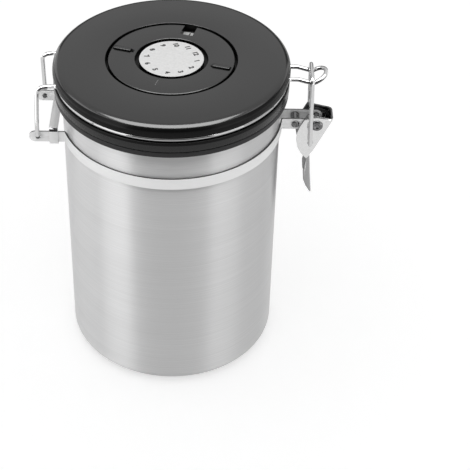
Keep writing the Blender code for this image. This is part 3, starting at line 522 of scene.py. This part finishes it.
def clip_piece():
    """A staple over both hinge ears, with lips that turn in under them."""
    thickness = 0.7 * MM
    side_y = HINGE_EAR_Y + STRAP_SHEET / 2 + GAP + thickness / 2
    x = -63.55 * MM
    width = 4.7 * MM
    bottom = 137.3 * MM
    top = 146.6 * MM
    lip = 2.2 * MM
    lower_fold = 0.9 * MM
    upper_fold = 2.4 * MM
    corners = [
        (Vector((x, side_y - lip, bottom)), 0.0),
        (Vector((x, side_y, bottom)), lower_fold),
        (Vector((x, side_y, top)), upper_fold),
        (Vector((x, -side_y, top)), upper_fold),
        (Vector((x, -side_y, bottom)), lower_fold),
        (Vector((x, lip - side_y, bottom)), 0.0),
    ]
    piece = sheet("staple_clip", rounded_path(corners), Vector((width, 0.0, 0.0)), thickness, STRAP)
    bake(piece)
    soften_edges(piece, SHEET_EDGE)
    bake(piece)
    # Painted reflection: the sloping faces of the upper folds get dark steel, for the dark reflection on
    # them
    second_material(piece, PAINTED_SHADE_STEEL, on_upper_fold)
    dress(piece, "canister", "strap_steel", "hinge_clip")


clip_piece()


def rivet_piece(name, x, pin, head, start, node):
    """A pin with two dimpled heads, which start that far from the middle; lengths in mm, but for x."""
    upper = [
        (0.0, start + 0.45, 0),
        (head * 0.3, start + 0.45, head * 0.1),
        (head * 0.5, start + 0.9, head * 0.12),
        (head * 0.72, start + 0.85, head * 0.15),
        (head, start + 0.35, 0.2),
        (head, start, 0.06),
        (pin, start, 0.05),
    ]
    lower = [(radius, -height, fillet) for radius, height, fillet in reversed(upper)]
    piece = revolve(name, soft_profile(upper + lower), 48, RIVET)
    turn = Matrix.Translation((x, 0.0, STRAP_AXIS_Z)) @ Matrix.Rotation(math.pi / 2, 4, "X")
    piece.data.transform(turn)
    dress(piece, "canister", "rivet_steel", node)


rivet_piece("tie_rivet", TIE_X, 1.2, 2.1, 4.9, "strap_rivet")
rivet_piece("pivot_rivet", LEVER_X, 1.5, 3.1, 6.15, "lever_rivet")


# Latch lever and bail


# Sections down the lever: the web's place and the edges' place from the pivot, both (x, z) in shares
# of its length, then a share of its half width, and 0 for a channel or 1 for a dish
LEVER_SECTIONS = (
    (0.160, 0.078, -0.100, 0.138, 1.00, 0.0),
    (0.152, 0.036, -0.136, 0.064, 1.00, 0.0),
    (0.118, -0.036, -0.178, -0.018, 1.00, 0.0),
    (0.084, -0.108, -0.206, -0.106, 1.00, 0.0),
    (0.050, -0.182, -0.208, -0.200, 1.00, 0.0),
    (0.012, -0.264, -0.190, -0.292, 1.00, 0.0),
    (-0.020, -0.332, -0.152, -0.364, 0.99, 0.0),
    (-0.046, -0.388, -0.112, -0.420, 0.88, 0.3),
    (-0.058, -0.432, -0.092, -0.454, 0.72, 0.8),
    (-0.052, -0.500, -0.100, -0.512, 0.87, 1.0),
    (-0.044, -0.600, -0.112, -0.608, 1.06, 1.0),
    (-0.036, -0.720, -0.102, -0.726, 1.06, 1.0),
    (-0.026, -0.820, -0.072, -0.824, 0.84, 1.0),
    (-0.018, -0.905, -0.036, -0.907, 0.52, 1.0),
    (-0.014, -0.955, -0.020, -0.956, 0.22, 1.0),
)
# Shares of half width and depth across the dish, from its edge to its middle
DISH = ((1.00, 1.00), (0.90, 0.62), (0.74, 0.30), (0.52, 0.10), (0.00, 0.00))
LEVER_FOLD = 1.5 * MM
LEVER_EDGE = 0.18 * MM


def lever_section(shares):
    """Points across one section, from one edge over the web to the other."""
    web_x, web_z, edge_x, edge_z, width, dish = shares
    web = Vector((web_x, 0.0, web_z)) * LEVER_LENGTH
    inward = Vector((edge_x, 0.0, edge_z)) * LEVER_LENGTH - web
    depth = inward.length
    inward.normalize()
    half = LEVER_HALF_WIDTH * width
    fold = min(LEVER_FOLD, depth * 0.45)
    folded = [
        (half, depth),
        (half, fold),
        (half - fold * 0.3, fold * 0.3),
        (half - fold, 0.0),
        (0.0, 0.0),
    ]
    side = []
    for (y, inset), (y_share, depth_share) in zip(folded, DISH):
        y += (half * y_share - y) * dish
        inset += (depth * depth_share - inset) * dish
        side.append((y, web + inward * inset))
    near = [Vector((place.x, -y, place.z)) for y, place in side]
    far = [Vector((place.x, y, place.z)) for y, place in reversed(side[:-1])]
    return near + far


def inside_channel(face):
    """Whether a face of the lever looks into its channel near the pivot."""
    inward = face.normal.y * face.center.y < -0.5 * MM
    back_of_web = abs(face.normal.y) < 0.5 and face.normal.x < 0.3
    return face.center.z > LEVER_PIVOT.z - 0.25 * LEVER_LENGTH and (inward or back_of_web)


def on_thumb_tab(face):
    """Whether a face of the lever is below its waist."""
    return face.center.z < LEVER_PIVOT.z - 0.44 * LEVER_LENGTH


def lever_piece():
    sections = [lever_section(shares) for shares in LEVER_SECTIONS]
    across = len(sections[0])
    points = [point + LEVER_PIVOT for section in sections for point in section]
    faces = []
    for row in range(len(sections) - 1):
        for column in range(across - 1):
            first = row * across + column
            faces.append((first, first + 1, first + across + 1, first + across))
    mesh = bpy.data.meshes.new("pressed_lever")
    mesh.from_pydata(points, [], faces)
    piece = link("pressed_lever", mesh, PRESSED)
    solidify = piece.modifiers.new("sheet", "SOLIDIFY")
    solidify.thickness = LEVER_SHEET
    solidify.offset = 0.0
    solidify.use_even_offset = True
    bake(piece)
    tools = [
        pin_hole(LEVER_HOLE_RADIUS, LEVER_PIVOT, LEVER_HALF_WIDTH),
        pin_hole(WIRE_HOLE_RADIUS, BAIL_PIVOT, LEVER_HALF_WIDTH),
    ]
    boolean(piece, tools)
    soften_edges(piece, LEVER_EDGE)
    bake(piece, math.radians(40))
    # Painted shade: the faces inside the channel near the pivot get dark steel
    second_material(piece, PAINTED_SHADE_STEEL, inside_channel)
    # Painted shade: the thumb tab below the waist gets the darker copy of the steel
    second_material(piece, THUMB_PAINTED_SHADE, on_thumb_tab)
    dress(piece, "latch_lever", "lever_steel", "latch_lever")


lever_piece()


def bail_piece():
    """A wire hooked into the lever's cheeks, whose bar lies on the catch."""
    bar = Vector((72.8 * MM, 0.0, 171.6 * MM))
    leg = Vector((0.0, 8.6 * MM, 0.0))
    end = Vector((0.0, 4 * MM, 0.0))
    foot_bend = 1.6 * MM
    bar_bend = 2.5 * MM
    corners = [
        (BAIL_PIVOT - end, 0.0),
        (BAIL_PIVOT - leg, foot_bend),
        (bar - leg, bar_bend),
        (bar + leg, bar_bend),
        (BAIL_PIVOT + leg, foot_bend),
        (BAIL_PIVOT + end, 0.0),
    ]
    piece = wire("bail_wire", rounded_path(corners), BRIGHT)
    dress(piece, "latch_bail", "wire_steel", "latch_bail")


bail_piece()


# Lid wire


def half_lid_wire(side):
    """Corners from a hinge pin up its leg, round the lid and out to the end of the catch."""
    catch = 5.9 * MM
    catch_y = side * catch
    leg_angle = math.radians(194.5)
    latch_angle = math.tau - math.asin(catch / RING_RADIUS)
    pin_y = side * 17.6 * MM
    leg_foot_y = side * 20.75 * MM
    leg_top_y = side * 15.8 * MM
    corners = [
        (Vector((HINGE_X, pin_y, STRAP_AXIS_Z)), 0.0),
        (Vector((HINGE_X, leg_foot_y, STRAP_AXIS_Z)), 1.6 * MM),
        (Vector((HINGE_X, leg_foot_y, 148.3 * MM)), 8 * MM),
        (Vector((HINGE_X + 0.5 * MM, leg_top_y, 169.3 * MM)), 4 * MM),
        (Vector((-63.2 * MM, leg_top_y, LID_WIRE_Z)), 0.0),
    ]
    steps = 48
    for n in range(steps + 1):
        angle = leg_angle + (latch_angle - leg_angle) * n / steps
        place = polar(RING_RADIUS, -side * angle, LID_WIRE_Z)
        if n == 0 or n == steps:
            corners.append((place, 3 * MM))
        elif 2 < n < steps - 2:
            corners.append((place, 0.0))
    corners += [
        (Vector((65.5 * MM, catch_y, LID_WIRE_Z)), 2.5 * MM),
        (Vector((73.4 * MM, catch_y, 168 * MM)), 2.5 * MM),
        (Vector((80.2 * MM, catch_y, 171.8 * MM)), catch),
    ]
    return corners


def low_side(face):
    """Whether a face is on the lower flank of a stretch of wire that runs out from the lid."""
    catch = face.center.x > 62.5 * MM
    leg_top = face.center.x < -62.5 * MM and face.center.z > 168.4 * MM
    return (catch or leg_top) and abs(face.normal.y) > 0.5 and -0.5 < face.normal.z < 0.35


def at_leg_foot(face):
    """Whether a face is on the bend at the foot of a hinge leg."""
    return face.center.z < STRAP_AXIS_Z + 2.5 * MM


def on_ring(face):
    """Whether a face is on the ring that the cover hides from above."""
    return face.center.xy.length < 61.3 * MM


def lid_wire_piece():
    points = rounded_path(half_lid_wire(-1) + half_lid_wire(1)[::-1])
    piece = wire("lid_ring_wire", points, BRIGHT)
    # Painted shade: the ring under the cover gets a darker copy of the wire's steel, for the shade and
    # dark reflection there
    second_material(piece, RING_SHADE_STEEL, on_ring)
    # Painted reflection: the lower flanks of the catch and of the legs' tops, and the bends at the legs'
    # feet, get dark steel
    second_material(piece, PAINTED_WIRE_SHADE, lambda face: low_side(face) or at_leg_foot(face))
    dress(piece, "lid", "wire_steel", "lid_wire")


lid_wire_piece()


# Lid


def cover_piece():
    """The black cap, with a well for the dials and a boss in it, and a skirt down to the plug."""
    skirt = SKIRT_RADIUS / MM
    profile = soft_profile(
        [
            (0.0, 175.7, 0),
            (6.0, 175.7, 0.3),
            (6.0, 173.8, 0.3),
            (34.3, 173.8, 0.3),
            (34.3, 178.5, 0.25),
            (61.75, 178.5, 4.3),
            (61.75, 172.25, 0.35),
            (skirt, 172.25, 0.2),
            (skirt, 167.4, 0.2),
            (57.25, 167.4, 0.2),
            (57.25, 176.5, 0.8),
            (36.3, 176.5, 0.5),
            (36.3, 172.3, 0.4),
            (0.0, 172.3, 0),
        ]
    )
    piece = revolve("cover_shell", profile, 180, LID_BLACK)
    # Painted shade: the cover's sides, the steep part of its rounded edge and every face below its rim
    # get the black with dimmer gloss
    second_material(piece, PAINTED_SHADE_BLACK, lambda face: abs(face.normal.z) < 0.6 or face.center.z < 177 * MM)
    dress(piece, "lid", "lid_black", "lid_cover")


cover_piece()


def plug_piece():
    """The flange under the ring wire, with painted shade along its top, and the cup that enters the
    mouth.
    """
    shade_end = 167.2
    profile = soft_profile(
        [
            (61.55, 168.85, 0.5),
            (61.55, shade_end, 0),
            (61.55, 163.4, 0.35),
            (54.0, 163.4, 0.3),
            (54.0, 158.9, 1.5),
            (50.8, 154.2, 2.0),
            (48.5, 151.5, 1.0),
            (46.5, 150.7, 0.8),
            (9.0, 150.7, 0.2),
            (9.0, 152.7, 0.2),
            (47.5, 152.7, 1.5),
            (52.0, 159.2, 2.0),
            (52.0, 167.1, 0.3),
            (59.6, 167.1, 0.2),
            (59.6, 168.85, 0.3),
        ],
        closed=True,
    )
    piece = revolve("plug_shell", profile, 160, PLUG_BLACK, closed=True)
    # Painted shade: the flange's top, under the ring wire, gets the black with dimmer gloss
    second_material(piece, PAINTED_SHADE_BLACK, lambda face: face.center.z > shade_end * MM)
    dress(piece, "lid", "plug_black", "lid_plug")


plug_piece()


def gasket_piece():
    """A rubber ring over the rim, with a lip that hangs down on either side of it."""
    profile = soft_profile(
        [
            (61.3, 162.75, 0.5),
            (61.3, 159.9, 0.5),
            (60.1, 159.9, 0.3),
            (60.1, 160.95, 0.3),
            (56.5, 160.95, 0.3),
            (55.5, 159.15, 0.3),
            (54.3, 159.15, 0.3),
            (54.3, 162.75, 0.3),
        ],
        closed=True,
    )
    piece = revolve("gasket_ring", profile, 160, GASKET, closed=True)
    dress(piece, "lid", "gasket_rubber", "lid_gasket")


gasket_piece()


# Dials


def disc_piece():
    """The date disc, with a window, a pointer opposite it and a grip in a pocket on either side."""
    profile = soft_profile(
        [
            (32.85, 178.5, 0.7),
            (32.85, 175.2, 0.2),
            (12.3, 175.2, 0.15),
            (12.3, 176.1, 0.15),
            (18.9, 176.1, 0.2),
            (18.9, 178.5, 0.5),
        ],
        closed=True,
    )
    piece = revolve("disc_shell", profile, 144, DISC_BLACK, closed=True)
    above = 182 * MM
    below = 172.2 * MM
    pocket_floor = 178.1 * MM
    pointer_floor = 178.3 * MM
    pockets = []
    grips = []
    for angle in (WINDOW_ANGLE + math.pi / 2, WINDOW_ANGLE - math.pi / 2):
        pockets.append(block(21.9 * MM, 31.9 * MM, 3.3 * MM, pocket_floor, above, angle))
        grip = block(22.3 * MM, 31.5 * MM, 2.5 * MM, 177.6 * MM, 179.4 * MM, angle)
        soften_edges(grip, 0.35 * MM, 3)
        grips.append(grip)
    boolean(piece, pockets)
    boolean(piece, grips, "UNION")
    window = block(23.7 * MM, 36 * MM, 7 * MM, below, above, WINDOW_ANGLE)
    pointer = block(20.35 * MM, 26.15 * MM, 0.6 * MM, pointer_floor, above, WINDOW_ANGLE + math.pi)
    boolean(piece, [window, pointer])

    def in_shade(face):
        return abs(face.normal.z) < 0.6 or face.center.z < (pocket_floor + pointer_floor) / 2

    def on_pointer(face):
        return face.normal.z > 0.9 and abs(face.center.z - pointer_floor) < 0.02 * MM

    # Painted shade: the walls, the pockets' floors and the faces below them get the black with dimmer
    # gloss
    second_material(piece, PAINTED_SHADE_BLACK, in_shade)
    second_material(piece, POINTER, on_pointer)
    dress(piece, "date_disc", "disc_black", "date_disc")


disc_piece()


def dial_piece():
    """The white month dial, its rim wall black with painted shade, on a skirt that turns on the boss."""
    top = DIAL_TOP / MM
    profile = soft_profile(
        [
            (0.0, top, 0),
            (16.75, top, 0.2),
            (16.75, 176.4, 0.15),
            (9.0, 176.4, 0.15),
            (9.0, 174.3, 0.15),
            (6.3, 174.3, 0.1),
            (6.3, 176.0, 0.1),
            (0.0, 176.0, 0),
        ]
    )
    piece = revolve("dial_cap", profile, 120, DIAL_WHITE)
    # Painted shade: the dial's rim wall is black, for the shade in the gap round it
    second_material(piece, PAINTED_SHADE_BLACK, lambda face: abs(face.normal.z) < 0.5)
    dress(piece, "month_dial", "dial_white", "month_dial")


dial_piece()


PRINT_WEIGHT = 0.045


def number(text, size, place, turn):
    """One printed number as a thin mesh, standing on its place and centred there."""
    curve = bpy.data.curves.new("number", "FONT")
    curve.body = text
    curve.size = size
    curve.align_x = "CENTER"
    curve.align_y = "CENTER"
    curve.extrude = PRINT_DEPTH / 2
    curve.offset = size * PRINT_WEIGHT
    curve.resolution_u = 3
    obj = bpy.data.objects.new("number", curve)
    bpy.context.scene.collection.objects.link(obj)
    bpy.context.view_layer.update()
    mesh = bpy.data.meshes.new_from_object(obj.evaluated_get(bpy.context.evaluated_depsgraph_get()))
    bpy.data.objects.remove(obj)
    lift = Vector((0.0, 0.0, PRINT_DEPTH / 2))
    mesh.transform(Matrix.Translation(place + lift) @ Matrix.Rotation(turn, 4, "Z"))
    return mesh


def joined(name, meshes, material):
    """One object of many meshes."""
    shape = bmesh.new()
    for mesh in meshes:
        shape.from_mesh(mesh)
    mesh = bpy.data.meshes.new(name)
    shape.to_mesh(mesh)
    shape.free()
    mesh.materials.clear()
    return link(name, mesh, material)


def dial_numbers():
    """The months' numbers, all upright, round the small dial."""
    months = 12
    meshes = []
    for month in range(1, months + 1):
        angle = DIAL_TWELVE_ANGLE - math.tau * month / months
        place = polar(13.2 * MM, angle, DIAL_TOP)
        meshes.append(number(str(month), 3.6 * MM, place, DIAL_TWELVE_ANGLE - math.pi / 2))
    piece = joined("dial_numbers", meshes, PRINT)
    dress(piece, "month_dial", "dial_white")


dial_numbers()


def plate_piece():
    """The white plate under the disc, with the days' numbers, of which one shows in the window."""
    top = PLATE_TOP / MM
    profile = soft_profile(
        [
            (32.0, top, 0.15),
            (32.0, 174.1, 0.1),
            (18.0, 174.1, 0.1),
            (18.0, top, 0.1),
        ],
        closed=True,
    )
    piece = revolve("day_ring", profile, 120, PLATE_WHITE, closed=True)
    dress(piece, "lid", "plate_white", "day_plate")
    days = 31
    meshes = []
    for day in range(1, days + 1):
        angle = WINDOW_ANGLE - math.tau * (day - 1) / days
        place = polar(29.8 * MM, angle, PLATE_TOP)
        meshes.append(number(str(day), 3.4 * MM, place, angle - math.pi / 2))
    numbers = joined("day_numbers", meshes, PRINT)
    dress(numbers, "lid", "plate_white")


plate_piece()


# Nodes that keep their CAD shape


def repaint(node, material):
    """Give a CAD node its visible material as it is."""
    obj = frame["nodes"][node]
    obj.data.materials.clear()
    obj.data.materials.append(material)
    finish_mesh(obj.data)


repaint("strap_spacer", RIVET)
repaint("valve_body", VALVE_BLACK)
repaint("valve_flap", FLAP)
repaint("valve_grille", VALVE_BLACK)


# Floor, light and camera

# Strengths: what the floor adds of its own, and what gloss sees of the floor, the walls and the ceiling
FLOOR_GLOW = 0.3
FLOOR_MIRRORED = 0.8
WALL_MIRRORED = 0.1
SKY_MIRRORED = 0.75

# Where the mirrored wall turns into the ceiling, by height, and how much sooner it does at the back
WALL_END = 0.44
SKY_START = 0.6
BACK_LEAN = 0.2

CARD_DISTANCE = 0.6


def floor():
    """A white floor that takes soft shadows and shows pale in the metal too."""
    mesh = bpy.data.meshes.new("floor")
    half = 4.0
    corners = [(-half, -half, 0), (half, -half, 0), (half, half, 0), (-half, half, 0)]
    mesh.from_pydata(corners, [], [(0, 1, 2, 3)])
    material = bpy.data.materials.new("floor_white")
    material.use_nodes = True
    tree = material.node_tree
    tree.nodes.clear()
    out = tree.nodes.new("ShaderNodeOutputMaterial")
    seen = tree.nodes.new("ShaderNodeBsdfDiffuse")
    seen.inputs["Color"].default_value = (0.92, 0.92, 0.92, 1.0)
    glow = tree.nodes.new("ShaderNodeEmission")
    glow.inputs["Strength"].default_value = FLOOR_GLOW
    bright = tree.nodes.new("ShaderNodeAddShader")
    mirrored = tree.nodes.new("ShaderNodeEmission")
    mirrored.inputs["Strength"].default_value = FLOOR_MIRRORED
    path = tree.nodes.new("ShaderNodeLightPath")
    mix = tree.nodes.new("ShaderNodeMixShader")
    tree.links.new(seen.outputs[0], bright.inputs[0])
    tree.links.new(glow.outputs[0], bright.inputs[1])
    tree.links.new(path.outputs["Is Glossy Ray"], mix.inputs[0])
    tree.links.new(bright.outputs[0], mix.inputs[1])
    tree.links.new(mirrored.outputs[0], mix.inputs[2])
    tree.links.new(mix.outputs[0], out.inputs["Surface"])
    obj = link("floor", mesh, material)
    obj.location.z = -0.1 * MM


floor()


def world():
    """White behind the canister, an even light on it, and a room with darker walls in its gloss."""
    scene_world = bpy.data.worlds.new("studio")
    bpy.context.scene.world = scene_world
    scene_world.use_nodes = True
    tree = scene_world.node_tree
    back = tree.nodes["Background"]
    back.inputs["Color"].default_value = (1.0, 1.0, 1.0, 1.0)
    back.inputs["Strength"].default_value = 0.8
    seen = tree.nodes.new("ShaderNodeBackground")
    seen.inputs["Color"].default_value = (1.0, 1.0, 1.0, 1.0)
    seen.inputs["Strength"].default_value = 1.0
    mirrored = tree.nodes.new("ShaderNodeBackground")
    mirrored.inputs["Color"].default_value = (1.0, 1.0, 1.0, 1.0)
    place = add(tree, "ShaderNodeTexCoord")
    height = add(tree, "ShaderNodeVectorMath", operation="DOT_PRODUCT")
    height.inputs[1].default_value = (0.0, BACK_LEAN, 1.0)
    rise = add(tree, "ShaderNodeMapRange", interpolation_type="SMOOTHSTEP")
    rise.inputs["From Min"].default_value = WALL_END
    rise.inputs["From Max"].default_value = SKY_START
    rise.inputs["To Min"].default_value = WALL_MIRRORED
    rise.inputs["To Max"].default_value = SKY_MIRRORED
    tree.links.new(place.outputs["Generated"], height.inputs[0])
    tree.links.new(height.outputs["Value"], rise.inputs["Value"])
    tree.links.new(rise.outputs[0], mirrored.inputs["Strength"])
    path = tree.nodes.new("ShaderNodeLightPath")
    glossy = tree.nodes.new("ShaderNodeMixShader")
    mix = tree.nodes.new("ShaderNodeMixShader")
    tree.links.new(path.outputs["Is Glossy Ray"], glossy.inputs[0])
    tree.links.new(back.outputs[0], glossy.inputs[1])
    tree.links.new(mirrored.outputs[0], glossy.inputs[2])
    tree.links.new(path.outputs["Is Camera Ray"], mix.inputs[0])
    tree.links.new(glossy.outputs[0], mix.inputs[1])
    tree.links.new(seen.outputs[0], mix.inputs[2])
    tree.links.new(mix.outputs[0], tree.nodes["World Output"].inputs["Surface"])


world()


def area_light(name, place, target, size, power):
    """A rectangular light that only shows in gloss."""
    light = bpy.data.lights.new(name, "AREA")
    light.shape = "RECTANGLE"
    light.size = size[0]
    light.size_y = size[1]
    light.energy = power
    obj = bpy.data.objects.new(name, light)
    obj.location = place
    obj.rotation_euler = (Vector(target) - Vector(place)).to_track_quat("-Z", "Y").to_euler()
    obj.visible_diffuse = False
    bpy.context.scene.collection.objects.link(obj)


def side_card(name, azimuth, width, height, power):
    """An upright soft light just off the floor, at an azimuth from the front towards the right."""
    angle = math.radians(azimuth)
    middle = height / 2 + 0.01
    place = (CARD_DISTANCE * math.sin(angle), -CARD_DISTANCE * math.cos(angle), middle)
    area_light(name, place, (0.0, 0.0, middle), (width, height), power)


side_card("card_left", -53, 0.34, 0.7, 1.45)
side_card("card_far_left", -90, 0.42, 0.7, 1.2)
side_card("card_back_left", -130, 0.42, 0.4, 0.5)
side_card("card_right", 52, 0.3, 0.7, 0.75)
side_card("card_far_right", 82, 0.4, 0.7, 0.6)
side_card("card_back_right", 122, 0.42, 0.4, 0.4)
area_light("overhead", (0.0, -0.22, 1.1), (0.0, -0.05, 0.17), (1.3, 0.75), 17.0)


def camera():
    """The photo's view, fitted to the outline of the lid and the body."""
    picture_width = 470
    canister_column = 171.98
    data = bpy.data.cameras.new("camera")
    data.sensor_width = 36.0
    data.lens = 109.65
    data.shift_x = (picture_width / 2 - canister_column) / picture_width
    data.clip_start = 0.01
    data.clip_end = 20.0
    obj = bpy.data.objects.new("camera", data)
    bpy.context.scene.collection.objects.link(obj)
    turn = math.radians(1.7)
    pitch = math.radians(40.005)
    reach = 625 * MM
    height = 583.7 * MM
    obj.location = (reach * math.sin(turn), -reach * math.cos(turn), height)
    forward = Vector(
        (-math.sin(turn) * math.cos(pitch), math.cos(turn) * math.cos(pitch), -math.sin(pitch))
    )
    roll = Matrix.Rotation(-0.00267, 3, "Z")
    obj.rotation_euler = (forward.to_track_quat("-Z", "Y").to_matrix() @ roll).to_euler()
    bpy.context.scene.camera = obj


camera()

bpy.context.scene.view_settings.view_transform = "Standard"
